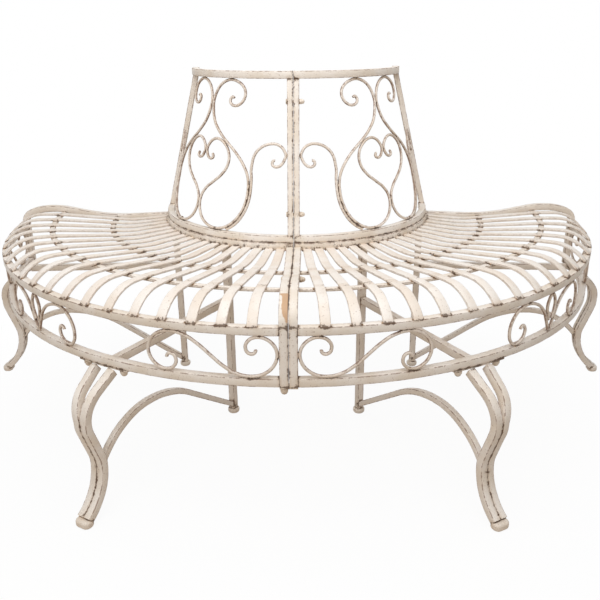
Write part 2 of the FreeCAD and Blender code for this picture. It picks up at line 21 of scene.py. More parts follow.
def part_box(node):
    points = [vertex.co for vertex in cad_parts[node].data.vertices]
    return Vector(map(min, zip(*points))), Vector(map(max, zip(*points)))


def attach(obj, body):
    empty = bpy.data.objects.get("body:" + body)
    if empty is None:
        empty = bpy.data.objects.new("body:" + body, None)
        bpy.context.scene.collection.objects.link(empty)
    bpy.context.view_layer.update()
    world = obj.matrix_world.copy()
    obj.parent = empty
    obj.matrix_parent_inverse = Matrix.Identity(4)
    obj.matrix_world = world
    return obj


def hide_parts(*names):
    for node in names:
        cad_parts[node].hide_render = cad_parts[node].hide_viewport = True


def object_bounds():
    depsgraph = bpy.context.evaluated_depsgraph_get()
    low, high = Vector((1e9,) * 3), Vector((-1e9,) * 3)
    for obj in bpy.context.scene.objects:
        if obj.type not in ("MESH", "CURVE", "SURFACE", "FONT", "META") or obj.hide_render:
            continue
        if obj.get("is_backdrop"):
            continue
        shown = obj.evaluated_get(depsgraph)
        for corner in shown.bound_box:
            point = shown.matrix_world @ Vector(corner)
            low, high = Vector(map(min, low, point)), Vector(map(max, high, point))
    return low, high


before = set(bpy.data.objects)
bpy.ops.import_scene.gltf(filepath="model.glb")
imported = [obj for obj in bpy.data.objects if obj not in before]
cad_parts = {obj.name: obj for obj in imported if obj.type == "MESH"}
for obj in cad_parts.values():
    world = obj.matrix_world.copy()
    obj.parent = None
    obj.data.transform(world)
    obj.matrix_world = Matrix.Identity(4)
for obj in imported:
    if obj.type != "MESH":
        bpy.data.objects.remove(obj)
cad_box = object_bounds()
print(len(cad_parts), "pieces in the frame, box", cad_box)

# %% [markdown]
# ## Sizes
#
# These are the bench's own sizes, in millimetres from the tree's axis and the ground, and
# they are the ones that its steel was cut and bent to. Each is turned to metres where it
# is used. The heights of the rims are read from the frame.

# %% Sizes of the stock and of the bench
MM = 0.001
BAR = 15 * MM
CORNER = 0.9 * MM
UPRIGHT_BAR = 12 * MM
BRACE_BAR = 12 * MM
SLAT_WIDTH = 18 * MM
SLAT_THICKNESS = 4 * MM
SLAT_COUNT = 18
FIRST_SLAT = math.radians(4.9)
SLAT_DRIFT = math.radians(2.1)
RING_WIDTH = 12 * MM
RING_THICKNESS = 5 * MM
RING_RADII = (455 * MM, 590 * MM)
SEAM_GAP = 1 * MM
HALF_GAP = SEAM_GAP / 2
RIM_RADIUS = 700 * MM
INNER_RIM_RADIUS = 325 * MM
BACK_BOTTOM_RADIUS = 313.5 * MM
BACK_TOP_RADIUS = 235.5 * MM
SIDES = {"right": 1, "left": -1}

RIM_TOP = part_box("right_outer_rim")[1].z
RIM_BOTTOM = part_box("right_apron_lower_rim")[0].z
INNER_RIM_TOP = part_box("right_inner_rim")[1].z
BACK_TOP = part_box("right_back_top_bar")[1].z
print("rim top", RIM_TOP, "lower rim", RIM_BOTTOM, "inner rim", INNER_RIM_TOP, "back", BACK_TOP)

# %% [markdown]
# ## Lines that the bars follow
#
# A bender works in straights and bends, so a line is written the same way: a list of
# steps, where a number is a straight and a pair is a bend's radius and turn. The walk
# goes through the steps and leaves a point every few millimetres, because the wear is
# stored on the points later and needs somewhere to sit. Beside each point goes the
# direction of the section's width, so that the bar never twists.

# %% Walk along a line of straights and bends
SPACING = 4 * MM


def walk(start, heading, steps, shift=0.0):
    """Samples (radius, height, course) of a line in an upright plane, moved to its left."""
    course = math.radians(heading)
    r = start[0] - shift * math.sin(course)
    z = start[1] + shift * math.cos(course)
    samples = [(r, z, course)]
    for step in steps:
        bend = isinstance(step, tuple)
        turn = math.radians(step[1]) if bend else 0.0
        side = math.copysign(1, turn)
        radius = step[0] - side * shift if bend else 0.0
        length = abs(turn) * radius if bend else step
        count = max(1, round(length / SPACING))
        for _ in range(count):
            chord = 2 * radius * math.sin(abs(turn) / count / 2) if bend else length / count
            middle = course + turn / count / 2
            r += chord * math.cos(middle)
            z += chord * math.sin(middle)
            course += turn / count
            samples.append((r, z, course))
    return samples


def in_seam_plane(samples, offset=0.0):
    """The walk's points in space, beside the seam, with the section's width along X."""
    return [(Vector((offset, -r, z)), Vector((1, 0, 0))) for r, z, _ in samples]


def straight(start, end, side):
    """Points along a straight bar, with the direction of its width."""
    start, end = Vector(start), Vector(end)
    count = max(1, round((end - start).length / SPACING))
    return [(start.lerp(end, k / count), Vector(side)) for k in range(count + 1)]


def level_arc(radius, height, edge):
    """Points round a quarter of a ring, cut `edge` before the planes at its ends."""
    first = math.asin(edge / radius)
    last = math.pi / 2 - first
    count = round((last - first) * radius / SPACING)
    points = []
    for k in range(count + 1):
        angle = first + (last - first) * k / count
        outward = Vector((math.sin(angle), -math.cos(angle), 0))
        points.append((outward * radius + Vector((0, 0, height)), outward))
    return points


def about(path, angle):
    """A path turned about the tree's axis."""
    turn = Matrix.Rotation(angle, 3, "Z")
    return [(turn @ point, turn @ side) for point, side in path]


def mirror_middle(path):
    """A path's twin at the outer end of the quarter bench."""
    return [(Vector((-p.y, -p.x, p.z)), Vector((-s.y, -s.x, s.z))) for p, s in path]


def mirror_seam(path):
    """A path's twin on the other quarter bench."""
    return [(Vector((-p.x, p.y, p.z)), Vector((-s.x, s.y, s.z))) for p, s in path]


print("a quarter of the outer rim has", len(level_arc(RIM_RADIUS, 0, BAR)), "points")

# %% [markdown]
# ## One helper for nodes
#
# Every tree below, for geometry and for materials, is built with the same small function.
# It adds a node, sets its properties, and fills its sockets with values or links. A node
# given as an input stands for its first output, which keeps the lines short.

# %% Node helpers


def add(tree, kind, inputs=None, **settings):
    """Add a node with its settings, and give each input a value or a link."""
    node = tree.nodes.new(kind)
    for name, value in settings.items():
        setattr(node, name, value)
    for key, value in (inputs or {}).items():
        if isinstance(value, bpy.types.Node):
            value = next(output for output in value.outputs if output.enabled)
        if isinstance(value, bpy.types.NodeSocket):
            tree.links.new(value, node.inputs[key])
        else:
            node.inputs[key].default_value = value
    return node


def new_tree(name, inputs):
    """A Geometry Nodes tree with named inputs, and its input and output nodes."""
    tree = bpy.data.node_groups.new(name, "GeometryNodeTree")
    face = tree.interface
    face.new_socket("Geometry", in_out="INPUT", socket_type="NodeSocketGeometry")
    for label, kind in inputs.items():
        face.new_socket(label, in_out="INPUT", socket_type="NodeSocket" + kind)
    face.new_socket("Geometry", in_out="OUTPUT", socket_type="NodeSocketGeometry")
    return tree, tree.nodes.new("NodeGroupInput").outputs, tree.nodes.new("NodeGroupOutput")


def grown(name, mesh, tree, values):
    """Run a tree on a mesh and keep what it makes as a plain mesh."""
    piece = bpy.data.objects.new(name, mesh)
    bpy.context.scene.collection.objects.link(piece)
    modifier = piece.modifiers.new(tree.name, "NODES")
    modifier.node_group = tree
    for item in tree.interface.items_tree:
        if item.in_out == "INPUT" and item.name in values:
            modifier[item.identifier] = values[item.name]
    depsgraph = bpy.context.evaluated_depsgraph_get()
    result = bpy.data.meshes.new_from_object(piece.evaluated_get(depsgraph))
    piece.modifiers.remove(modifier)
    piece.data = result
    return piece


def path_mesh(name, paths):
    """Paths as a mesh of edges that holds the direction of the section's width."""
    points, edges, widths = [], [], []
    for path in paths:
        start = len(points)
        points += [point for point, _ in path]
        widths += [side for _, side in path]
        edges += [(start + k, start + k + 1) for k in range(len(path) - 1)]
    mesh = bpy.data.meshes.new(name)
    mesh.from_pydata(points, edges, [])
    side = mesh.attributes.new("side", "FLOAT_VECTOR", "POINT")
    side.data.foreach_set("vector", [x for width in widths for x in width])
    return mesh


# %% [markdown]
# ## The paint
#
# The finish is an antique cream enamel, brushed over a brown primer and rubbed through by
# hand. To the eye that gives a warm, matt, slightly uneven cream. Thin brown lines follow
# the edges where the cloth has rubbed. Along the sides of the wires the brown line is
# partly rubbed glaze and partly painted shade of the round wire. Dark stains sit wherever
# two pieces meet: round the welds they are partly spatter that kept the cream off, and
# they are partly painted shade in the corners and gaps between the pieces.
#
# The sweep stores how far a point is from the edge of its bar, as `edge`, and a later step
# stores how far it is from the next piece, as `joint`, both in metres. The material only
# compares those two with widths that noise varies, so it works the same on every piece.

# %% Colours and noises of the paint


def linear(code):
    """A hex colour as the linear colour that a shader takes."""
    parts = [int(code[k:k + 2], 16) / 255 for k in (1, 3, 5)]
    parts = [p / 12.92 if p <= 0.04045 else ((p + 0.055) / 1.055) ** 2.4 for p in parts]
    return (*parts, 1.0)


def per_metre(size):
    """A noise scale that repeats about once in a size given in millimetres."""
    return 1 / (size * MM)


ENAMEL_IOR = 1.5
SMOOTH = {"interpolation_type": "SMOOTHSTEP"}

# Size in mm, detail and roughness of each noise in the paint
PAINT_NOISES = {
    "clouds": (60, 3, 0.5), "brush grain": (1.6, 2, 0.7), "breaks": (11, 4, 0.65),
    "fine breaks": (2.4, 2, 0.6), "chips": (3.2, 3, 0.6), "brush ridges": (3.5, 4, 0.6),
}
print(len(PAINT_NOISES), "noises, the finest of", min(PAINT_NOISES.values())[0], "mm")

# %% [markdown]
# ## The paint's layers
#
# The material is built the way the paint was: enamel first, and then what the brush, the
# cloth and the torch did to it, with painted shade laid in the same layers where pieces
# meet and along the sides of the wires. Each layer is a colour with the share of the
# surface that it covers. Where the cloth went through, the primer is also duller and lies
# a little lower than the enamel beside it.

# %% The enamel and its mixes


def darkened_near(tree, distance, noise, low, high, widths, soft):
    """1 where a distance in metres is under a width in mm that noise varies, and 0 beyond."""
    width = add(tree, "ShaderNodeMapRange", {
        "Value": noise, "From Min": low, "From Max": high, "To Min": widths[0] * MM,
        "To Max": widths[1] * MM}, **SMOOTH)
    past = add(tree, "ShaderNodeMath", {0: distance, 1: width}, operation="SUBTRACT")
    return add(tree, "ShaderNodeMapRange", {
        "Value": past, "From Min": -soft * MM, "From Max": soft * MM, "To Min": 1.0,
        "To Max": 0.0}, **SMOOTH)


def cream_enamel_with_wear_and_shade(name, light, dark, rub, reach):
    """Matt cream enamel over brown primer, rubbed through at the edges and the welds.

    The brown reaches `rub` mm in from an edge or from the side of a wire, and `reach` mm
    away from the next piece. Near the next piece it is partly weld stain and partly painted
    shade; on a wire's sides it is partly painted shade.
    """
    material = bpy.data.materials.new(name)
    material.use_nodes = True
    tree = material.node_tree
    shader = tree.nodes["Principled BSDF"]
    shader.inputs["IOR"].default_value = ENAMEL_IOR
    place = add(tree, "ShaderNodeTexCoord").outputs["Object"]
    noise = {
        label: add(tree, "ShaderNodeTexNoise", {
            "Vector": place, "Scale": per_metre(size), "Detail": detail, "Roughness": rough})
        for label, (size, detail, rough) in PAINT_NOISES.items()}
    edge, joint, bare = [
        add(tree, "ShaderNodeAttribute", attribute_name=label).outputs["Fac"]
        for label in ("edge", "joint", "bare")]

    # Uneven coats: broad clouds of a hand's width, fine brush grain and pin-head chips
    cloudy, grainy, chipped = [
        add(tree, "ShaderNodeMapRange", {"Value": noise[label], "From Min": low,
                                         "From Max": high, "To Max": most}, **SMOOTH)
        for label, low, high, most in (("clouds", 0.35, 0.68, 1.0),
                                       ("brush grain", 0.5, 0.8, 0.3), ("chips", 0.62, 0.7, 0.45))]

    # A broken brown line along the edges, which on a wire's sides is partly painted shade,
    #     and dark marks in a paler halo where pieces meet, partly weld stain and partly painted
    #     shade between them
    fine = add(tree, "ShaderNodeMath", {0: noise["fine breaks"], 1: 0.3}, operation="MULTIPLY")
    breaks = add(tree, "ShaderNodeMath", {0: noise["breaks"], 1: 0.7, 2: fine},
                 operation="MULTIPLY_ADD")
    worn_and_wire_shade = darkened_near(tree, edge, breaks, 0.42, 0.62, (0.45, rub), 0.45)
    joint_stain_and_shade = darkened_near(tree, joint, breaks, 0.4, 0.66, (0.3, reach), 0.8)
    halo = add(tree, "ShaderNodeMapRange", {
        "Value": joint, "From Min": 0.0, "From Max": 1.5 * reach * MM, "To Min": 0.36,
        "To Max": 0.0}, **SMOOTH)
    thin, dark_joint_stain_and_shade = [
        add(tree, "ShaderNodeMath", {0: share, 1: most}, operation="MULTIPLY")
        for share, most in ((worn_and_wire_shade, 0.68), (joint_stain_and_shade, 0.8))]

    # A bare patch with a ragged edge, where the mesh has one
    ragged = add(tree, "ShaderNodeMath", {0: noise["breaks"], 1: 0.3}, operation="ADD")
    torn = add(tree, "ShaderNodeMath", {0: bare, 1: ragged}, operation="MULTIPLY")
    patch = add(tree, "ShaderNodeMapRange", {"Value": torn, "From Min": 0.42,
                                             "From Max": 0.55}, **SMOOTH)

    # The layers, from the enamel up to what covers it
    coat = linear(light)
    # The paler halo and the darkest brown near the next piece are partly painted shade, and so is
    # the thin brown line on a wire's sides
    for share, colour in ((cloudy, dark), (grainy, "#D2BB9E"), (chipped, "#8A6446"),
                          (halo, "#C3A27C"), (thin, "#7A5136"), (dark_joint_stain_and_shade, "#51361F"),
                          (patch, "#CDA783")):
        coat = add(tree, "ShaderNodeMix", {"Factor": share, "A": coat, "B": linear(colour)},
                   data_type="RGBA")
    tree.links.new(coat.outputs["Result"], shader.inputs["Base Color"])

    # Primer is duller than the enamel, and the brush leaves fine ridges
    dull = add(tree, "ShaderNodeMath", {0: worn_and_wire_shade, 1: joint_stain_and_shade}, operation="ADD", use_clamp=True)
    roughness = add(tree, "ShaderNodeMapRange", {"Value": dull, "To Min": 0.5, "To Max": 0.8},
                    **SMOOTH)
    tree.links.new(roughness.outputs["Result"], shader.inputs["Roughness"])
    loss = add(tree, "ShaderNodeMath", {0: dull, 1: 0.3}, operation="MULTIPLY")
    ridges = add(tree, "ShaderNodeMath", {0: noise["brush ridges"], 1: 0.6},
                 operation="MULTIPLY")
    height = add(tree, "ShaderNodeMath", {0: ridges, 1: loss}, operation="SUBTRACT",
                 use_clamp=True)
    bump = add(tree, "ShaderNodeBump", {"Height": height, "Strength": 0.5,
                                        "Distance": 0.35 * MM})
    tree.links.new(bump.outputs["Normal"], shader.inputs["Normal"])
    return material


# Each paint's light and dark cream, and how far in mm the brown reaches from an edge or a
# wire's side, and from the next piece, where it is partly weld stain and partly painted shade
PAINTS = {
    "painted_bar": cream_enamel_with_wear_and_shade("cream_enamel_bar", "#F8F0E7", "#EEE2D3", 1.7, 4.2),
    "painted_slat": cream_enamel_with_wear_and_shade("cream_enamel_slat", "#F8F0E7", "#F0E3D5", 0.9, 5.5),
    "painted_wire": cream_enamel_with_wear_and_shade("cream_enamel_wire", "#EFE4D9", "#DFD0C0", 2.8, 4.2),
    "painted_hardware": cream_enamel_with_wear_and_shade("cream_enamel_nuts", "#EFE3D5", "#DDCCB8", 1.1, 1.6),
    "painted_feet": cream_enamel_with_wear_and_shade("cream_enamel_feet", "#F5EBDF", "#E7D8C7", 1.1, 2.6),
}
print("paints:", ", ".join(PAINTS))

# %% [markdown]
# ## The sweep
#
# A square bar is drawn through a die and has a small round on its corners, which catches
# the light along every edge. The tree makes that section, notes how far each of its
# points is from a corner, sweeps it along the line, and lets the surface waver by a fifth
# of a millimetre, as hot-bent and hand-painted steel does.

# %% Tree for a swept bar
WAVER = 0.2 * MM
WAVER_SIZE = 30
MIDDLE_GREY = (0.5, 0.5, 0.5)


def section_nodes(tree, width, height, corner):
    """A rounded rectangle whose points know how far they are from its corners."""
    shape = add(tree, "GeometryNodeCurvePrimitiveQuadrilateral",
                {"Width": width, "Height": height})
    rounded = add(tree, "GeometryNodeFilletCurve",
                  {"Curve": shape, "Count": 2, "Radius": corner}, mode="POLY")
    dense = add(tree, "GeometryNodeSubdivideCurve", {"Curve": rounded, "Cuts": 1})
    place = add(tree, "GeometryNodeInputPosition")
    spot = add(tree, "ShaderNodeSeparateXYZ", {0: place})
    reach = []
    for axis, size in (("X", width), ("Y", height)):
        far = add(tree, "ShaderNodeMath", {0: spot.outputs[axis]}, operation="ABSOLUTE")
        half = add(tree, "ShaderNodeMath", {0: size, 1: 0.5}, operation="MULTIPLY")
        reach.append(add(tree, "ShaderNodeMath", {0: half, 1: far}, operation="SUBTRACT"))
    away = add(tree, "ShaderNodeMath", {0: reach[0], 1: reach[1]}, operation="ADD")
    return add(tree, "GeometryNodeStoreNamedAttribute", {
        "Geometry": dense, "Name": "edge", "Value": away})


def sweep_nodes(tree, geometry, width, height, corner):
    """The section swept along the paths, with a slight waver in its surface."""
    curve = add(tree, "GeometryNodeMeshToCurve", {"Mesh": geometry})
    side = add(tree, "GeometryNodeInputNamedAttribute", {"Name": "side"},
               data_type="FLOAT_VECTOR")
    framed = add(tree, "GeometryNodeSetCurveNormal", {"Curve": curve, "Normal": side},
                 mode="FREE")
    section = section_nodes(tree, width, height, corner)
    swept = add(tree, "GeometryNodeCurveToMesh", {
        "Curve": framed, "Profile Curve": section, "Fill Caps": True})
    noise = add(tree, "ShaderNodeTexNoise", {"Scale": per_metre(WAVER_SIZE), "Detail": 1.0})
    centred = add(tree, "ShaderNodeVectorMath", {0: noise.outputs["Color"], 1: MIDDLE_GREY},
                  operation="SUBTRACT")
    waver = add(tree, "ShaderNodeVectorMath", {0: centred, "Scale": 4 * WAVER},
                operation="SCALE")
    moved = add(tree, "GeometryNodeSetPosition", {"Geometry": swept, "Offset": waver})
    return add(tree, "GeometryNodeSetShadeSmooth", {"Geometry": moved})


def bar_tree():
    """The tree that makes a bent bar from its line."""
    tree, inputs, output = new_tree("bent bar", {
        "Width": "Float", "Height": "Float", "Corner": "Float", "Paint": "Material"})
    swept = sweep_nodes(tree, inputs["Geometry"], inputs["Width"], inputs["Height"],
                        inputs["Corner"])
    painted = add(tree, "GeometryNodeSetMaterial",
                  {"Geometry": swept, "Material": inputs["Paint"]})
    whole = add(tree, "GeometryNodeRealizeInstances", {"Geometry": painted})
    tree.links.new(whole.outputs[0], output.inputs[0])
    return tree


BENT_BAR = bar_tree()
print(BENT_BAR.name, "has", len(BENT_BAR.nodes), "nodes")

# %% [markdown]
# ## Making a bar
#
# The two quarters of the bench are mirror images, bent from the same bar. So each kind of
# bar is described once, for the right quarter, and its line is mirrored for the left one.
# The tree runs on the line, and what it made stays as a plain mesh.

# %% Bars for both quarters
made = []


def bent_bar(node, paths, width, height):
    """A piece for a CAD node, swept from the same stock along the same lines."""
    piece = grown("bar_" + node, path_mesh(node, paths), BENT_BAR, {
        "Width": width, "Height": height, "Corner": CORNER, "Paint": PAINTS["painted_bar"]})
    made.append((piece, node, "painted_bar"))


def bar_on_both_sides(node, paths, width, height):
    """The same bar for the right quarter and, mirrored, for the left one."""
    bent_bar("right_" + node, paths, width, height)
    bent_bar("left_" + node, [mirror_seam(path) for path in paths], width, height)


# %% [markdown]
# ## Rims and the bars of the back
#
# These are level rings, so their lines are plain arcs about the tree. The rims stop at
# the corner posts, and the bars of the back run right up to the seam.

# %% Rims and back bars
half = BAR / 2
post_edge = HALF_GAP + BAR
bar_on_both_sides("outer_rim", [level_arc(RIM_RADIUS - half, RIM_TOP - half, post_edge)],
                  BAR, BAR)
bar_on_both_sides("apron_lower_rim",
                  [level_arc(RIM_RADIUS - half, RIM_BOTTOM + half, post_edge)], BAR, BAR)
bar_on_both_sides("inner_rim",
                  [level_arc(INNER_RIM_RADIUS - half, INNER_RIM_TOP - half, HALF_GAP)], BAR, BAR)
bar_on_both_sides("back_bottom_bar",
                  [level_arc(BACK_BOTTOM_RADIUS, INNER_RIM_TOP + half, HALF_GAP)], BAR, BAR)
bar_on_both_sides("back_top_bar",
                  [level_arc(BACK_TOP_RADIUS, BACK_TOP - half, HALF_GAP)], BAR, BAR)
print(len(made), "ring bars")

# %% [markdown]
# ## The seat's line, its end bars and its rings
#
# An end bar rises from the outer rim, rolls over the front edge, sinks into the hollow of
# the seat and meets the inner rim. A slat leans in at once from the rim's front edge and
# runs a little lower. Two rings of flat strip lie under the slats and tie them together,
# so their height follows from the slat's line.

# %% Seat line, end bars and rings
SEAT_START = (RIM_RADIUS, RIM_TOP)
SEAT_BENDS = [0.5 * MM, (35 * MM, 66), (116 * MM, 16.5), (224 * MM, 19), 42 * MM,
              (470 * MM, -14)]
SLAT_HEADING = 128
SLAT_BENDS = [(88 * MM, 52), (600 * MM, 6), 125.7 * MM, (300 * MM, -10.5)]
RIM_TUCK = 1 * MM


def run_in(heading, bends, sink):
    """A line from the rim's front edge, sunk into the seat, just into the inner rim."""
    r, _, course = walk(SEAT_START, heading, bends)[-1]
    last = (r - INNER_RIM_RADIUS + RIM_TUCK) / -math.cos(course)
    return walk(SEAT_START, heading, bends + [last], sink)


def slat_line(sink):
    """A slat's line, with a heel below the rim's top that is sawn off later."""
    line = run_in(SLAT_HEADING, SLAT_BENDS, sink)
    r, z, course = line[0]
    heel = (r - SLAT_THICKNESS * math.cos(course), z - SLAT_THICKNESS * math.sin(course), course)
    return [heel] + line


def ring_height(radius):
    """Height of a ring's middle: it lies under the lowest slat above its width."""
    near = [z for r, z, _ in slat_line(SLAT_THICKNESS)
            if abs(r - radius) < RING_WIDTH / 2 + SPACING / 2]
    return min(near) - RING_THICKNESS / 2


end_bar = in_seam_plane(run_in(90, SEAT_BENDS, half), HALF_GAP + half)
bar_on_both_sides("seam_end_bar", [end_bar], BAR, BAR)
bar_on_both_sides("outer_end_bar", [mirror_middle(end_bar)], BAR, BAR)
rings = [level_arc(radius, ring_height(radius), post_edge) for radius in RING_RADII]
bar_on_both_sides("support_rings", rings, RING_WIDTH, RING_THICKNESS)
print("ring heights", [round(ring_height(radius), 4) for radius in RING_RADII])

# %% [markdown]
# ## Sawn ends
#
# Slats and strands end in a level cut, because they stand on a level bar or under a level
# plate. A saw does that after the bending. So the line runs a little long here too, and
# a bisect of the mesh takes off the rest and closes the cut.

# %% Saw a piece off level


def sawn_level(piece, height, above=True):
    """Cut off what stands above or below a height, and close the cut."""
    mesh = bmesh.new()
    mesh.from_mesh(piece.data)
    cut = bmesh.ops.bisect_plane(mesh, geom=mesh.verts[:] + mesh.edges[:] + mesh.faces[:],
                                 plane_co=(0, 0, height), plane_no=(0, 0, 1),
                                 clear_outer=above, clear_inner=not above)
    rim = [edge for edge in cut["geom_cut"] if isinstance(edge, bmesh.types.BMEdge)]
    bmesh.ops.edgeloop_fill(mesh, edges=rim)
    bmesh.ops.recalc_face_normals(mesh, faces=mesh.faces[:])
    mesh.to_mesh(piece.data)
    mesh.free()


# %% [markdown]
# ## The fan of slats
#
# Eighteen slats stand on each quarter, all bent alike. So the tree sweeps one slat, puts a
# copy on a point for each number, and turns it about the tree's axis by the angle that
# goes with the number, with a hair of hand-set error. The angles are even but for a drift,
# which draws the slats together near the seam.

# %% Fan of slats
SLAT_SPREAD = math.pi / 2 - 2 * FIRST_SLAT
HAND_ERROR = 0.002


def slat_tree():
    """The tree that makes a quarter's fan of slats from the line of one slat."""
    tree, inputs, output = new_tree("slat fan", {
        "Width": "Float", "Height": "Float", "Corner": "Float", "Paint": "Material",
        "Count": "Int", "First": "Float", "Spread": "Float", "Drift": "Float", "Side": "Float",
        "Seed": "Int"})
    slat = sweep_nodes(tree, inputs["Geometry"], inputs["Width"], inputs["Height"],
                       inputs["Corner"])
    points = add(tree, "GeometryNodePoints", {"Count": inputs["Count"]})
    index = add(tree, "GeometryNodeInputIndex")
    gaps = add(tree, "ShaderNodeMath", {0: inputs["Count"], 1: 1.0}, operation="SUBTRACT")
    share = add(tree, "ShaderNodeMath", {0: index, 1: gaps}, operation="DIVIDE")
    rest = add(tree, "ShaderNodeMath", {0: 1.0, 1: share}, operation="SUBTRACT")
    drift = add(tree, "ShaderNodeMath", {0: inputs["Drift"], 1: -4.0}, operation="MULTIPLY")
    slope = add(tree, "ShaderNodeMath", {0: rest, 1: drift, 2: inputs["Spread"]},
                operation="MULTIPLY_ADD")
    angle = add(tree, "ShaderNodeMath", {0: share, 1: slope, 2: inputs["First"]},
                operation="MULTIPLY_ADD")
    error = add(tree, "FunctionNodeRandomValue", {
        2: -HAND_ERROR, 3: HAND_ERROR, "Seed": inputs["Seed"]}, data_type="FLOAT")
    set_by_hand = add(tree, "ShaderNodeMath", {0: angle, 1: error}, operation="ADD")
    sided = add(tree, "ShaderNodeMath", {0: set_by_hand, 1: inputs["Side"]},
                operation="MULTIPLY")
    turn = add(tree, "FunctionNodeAxisAngleToRotation", {"Axis": (0, 0, 1), "Angle": sided})
    placed = add(tree, "GeometryNodeInstanceOnPoints", {
        "Points": points, "Instance": slat, "Rotation": turn})
    whole = add(tree, "GeometryNodeRealizeInstances", {"Geometry": placed})
    painted = add(tree, "GeometryNodeSetMaterial",
                  {"Geometry": whole, "Material": inputs["Paint"]})
    tree.links.new(painted.outputs[0], output.inputs[0])
    return tree


SLAT_FAN = slat_tree()
slat_path = in_seam_plane(slat_line(SLAT_THICKNESS / 2))
for number, (side, sign) in enumerate(SIDES.items()):
    node = side + "_seat_slats"
    piece = grown("slats_" + side, path_mesh(node, [slat_path]), SLAT_FAN, {
        "Width": SLAT_WIDTH, "Height": SLAT_THICKNESS, "Corner": CORNER,
        "Paint": PAINTS["painted_slat"], "Count": SLAT_COUNT, "First": FIRST_SLAT,
        "Spread": SLAT_SPREAD, "Drift": SLAT_DRIFT, "Side": float(sign), "Seed": number})
    sawn_level(piece, RIM_TOP, above=False)
    made.append((piece, node, "painted_bar"))
    print(piece.name, len(piece.data.polygons), "faces")

# %% [markdown]
# ## Corner posts and uprights
#
# Straight bars need no bends, but they are swept from the same section, so that their
# corners and their paint match the rest. The uprights lean in as the back narrows, and
# run a little into the bars at both ends, where the welds close the slanted gap.

# %% Posts and uprights
UPRIGHT_TUCK = 2 * MM
post_r = RIM_RADIUS - half
corner_post = straight((HALF_GAP + half, -post_r, RIM_BOTTOM), (HALF_GAP + half, -post_r, RIM_TOP),
                       (1, 0, 0))
bar_on_both_sides("corner_posts", [corner_post, mirror_middle(corner_post)], BAR, BAR)

upright_x = HALF_GAP + UPRIGHT_BAR / 2
low, high = INNER_RIM_TOP + BAR, BACK_TOP - BAR
lean = (BACK_BOTTOM_RADIUS - BACK_TOP_RADIUS) / (high - low)
upright = straight((upright_x, -BACK_BOTTOM_RADIUS - UPRIGHT_TUCK * lean, low - UPRIGHT_TUCK),
                   (upright_x, -BACK_TOP_RADIUS + UPRIGHT_TUCK * lean, high + UPRIGHT_TUCK),
                   (1, 0, 0))
bar_on_both_sides("back_uprights", [upright, mirror_middle(upright)], UPRIGHT_BAR, UPRIGHT_BAR)
print("the back leans in by", round(math.degrees(math.atan(lean)), 1), "degrees")

# %% [markdown]
# ## Leg frames
#
# A front leg is two square bars side by side. They touch from the foot up to above the
# knee, then spread and lean in under the rim. An arched brace runs from the knee back to
# the rear post, and a level stretcher ties the post to the lower rim. All of it lies in
# one upright plane through the tree's axis, so it is drawn at the seam first.

# %% Leg lines
PLATE_THICKNESS = 3 * MM
PLATE_BOTTOM = RIM_BOTTOM - PLATE_THICKNESS
REAR_POST_RADIUS = 309.5 * MM
REAR_FOOT_HEIGHT = 12 * MM
STRETCHER_TOP = 295 * MM
KNEE = (735 * MM, 105 * MM)
FOOT_BEND = (110 * MM, 56)
LEAN = 19
KNEE_BEND_RADIUS = 67 * MM
LEAN_LENGTH = 57.4 * MM
HIP_BEND_RADIUS = 58 * MM
SHANK_BEND = (58.6 * MM, 57)
SHANK_LENGTH = 45 * MM
SPREAD = 9.3
SPREAD_RADIUS = 61 * MM
SPREAD_STEPS = 4
PEAK = (600 * MM, 168 * MM)
BRACE_FRONT_RADIUS = 160 * MM
BRACE_REAR_BEND = (232 * MM, 34)
BRACE_TUCK = 3


def strand_line():
    """The middle line of one strand, from its foot up to its plate."""
    foot = walk(KNEE, 270, [FOOT_BEND])[-1]
    rise = [(FOOT_BEND[0], -FOOT_BEND[1]), (KNEE_BEND_RADIUS, -LEAN), LEAN_LENGTH,
            (HIP_BEND_RADIUS, LEAN)]
    lower = walk(foot[:2], math.degrees(foot[2]) + 180, rise)
    line = in_seam_plane(lower, half)
    hip = lower[-1]
    upper = walk(hip[:2], 90, [SHANK_BEND, SHANK_LENGTH])
    for k in range(1, SPREAD_STEPS + 1):
        turn = math.radians(SPREAD) * k / SPREAD_STEPS
        line.append((Vector((half + SPREAD_RADIUS * (1 - math.cos(turn)), -hip[0],
                             hip[1] + SPREAD_RADIUS * math.sin(turn))),
                     Vector((math.cos(turn), 0, -math.sin(turn)))))
    start = line[-1][0]
    tilt = Matrix.Rotation(math.radians(SPREAD), 3, (0, 1, 0))
    split = Vector((half, -hip[0], hip[1]))
    for point, side in in_seam_plane(upper[1:], half):
        line.append((tilt @ (point - split) + start, tilt @ side))
    return line


def brace_line():
    """The arched brace, from inside the knee to the rear post."""
    turn = math.degrees(math.asin((KNEE[0] - PEAK[0]) / (BRACE_FRONT_RADIUS - BRACE_BAR / 2)))
    front = walk(PEAK, 0, [(BRACE_FRONT_RADIUS, -turn)])
    rear_radius, slope = BRACE_REAR_BEND[0], math.radians(BRACE_REAR_BEND[1])
    run = (PEAK[0] - rear_radius * math.sin(slope) - REAR_POST_RADIUS) / math.cos(slope)
    rear = walk(PEAK, 180, [BRACE_REAR_BEND, run])
    return in_seam_plane(front[-BRACE_TUCK:0:-1] + rear)


strand = strand_line()
print("a strand's line has", len(strand), "points, up to", round(strand[-1][0].z, 4), "m")

# %% [markdown]
# ## Legs in their places
#
# The four leg frames are welded in one jig and are alike. So their lines are turned about
# the tree to each leg's angle and mirrored for the other quarter, and the strands are then
# sawn off level under their plates.

